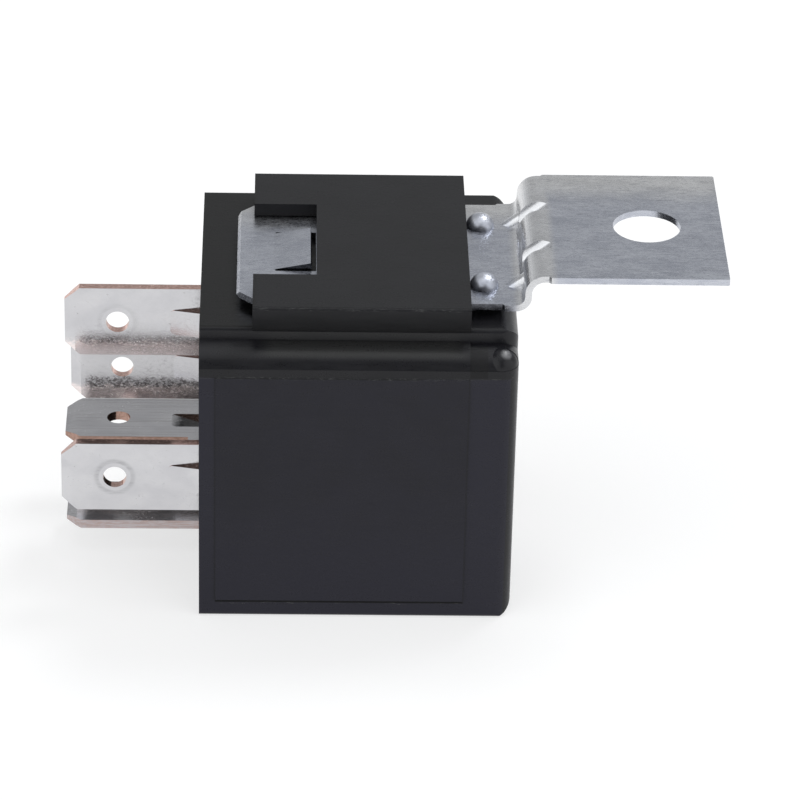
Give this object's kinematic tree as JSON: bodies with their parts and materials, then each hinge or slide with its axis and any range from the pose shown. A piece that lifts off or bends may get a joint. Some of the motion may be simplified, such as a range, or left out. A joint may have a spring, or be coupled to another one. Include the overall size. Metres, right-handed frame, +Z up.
{
  "type": "automotive relay",
  "caption": "Plug-in changeover relay with a black box cover, flat blade terminals at one end and a bolt-on metal bracket over the other.",
  "frame": {"origin": "on the resting face, at the middle of the overall length", "axes": "+X from the blades to the closed end and the tab, +Z up towards the bracket side, +Y across"},
  "size_m": [0.0542, 0.0259, 0.0302],
  "materials": {
    "black_cover": "satin moulded black plastic with a fine grain",
    "black_header": "matte moulded black plastic",
    "zinc_steel": "zinc-plated sheet steel with streaky spangle",
    "tinned_copper": "tin-plated copper alloy with bare sheared edges",
    "plated_iron": "zinc-plated soft iron",
    "bobbin_plastic": "natural nylon",
    "copper_wire": "enamelled copper wire",
    "contact_bronze": "rolled bronze sheet",
    "contact_silver": "silver alloy contact",
    "spring_steel": "drawn spring wire",
    "copper_braid": "bare copper braid"
  },
  "bodies": {
    "housing": {"cover": "black_cover", "header": "black_header", "mounting_bracket": "zinc_steel", "terminal_30": "tinned_copper", "terminal_85": "tinned_copper", "terminal_86": "tinned_copper", "terminal_87": "tinned_copper", "terminal_87a": "tinned_copper", "yoke": "plated_iron", "core": "plated_iron", "bobbin": "bobbin_plastic", "coil_winding": "copper_wire", "coil_lead_85": "copper_wire", "coil_lead_86": "copper_wire", "fixed_contact_no": "contact_silver", "fixed_contact_nc": "contact_silver", "return_spring": "spring_steel", "braid_lead": "copper_braid", "terminal_rivet": "plated_iron"},
    "armature": {"armature": "plated_iron", "contact_blade": "contact_bronze", "blade_rivets": "plated_iron", "moving_contact": "contact_silver"}
  },
  "joints": [
    {"name": "armature_hinge", "type": "hinge", "parent": "housing", "child": "armature", "pos_m": [0.0029, 0, 0.022], "axis": [0, 1, 0], "range_deg": [0, 4], "stiffness_Nm_per_rad": 0.02, "springref_deg": -5}
  ]
}
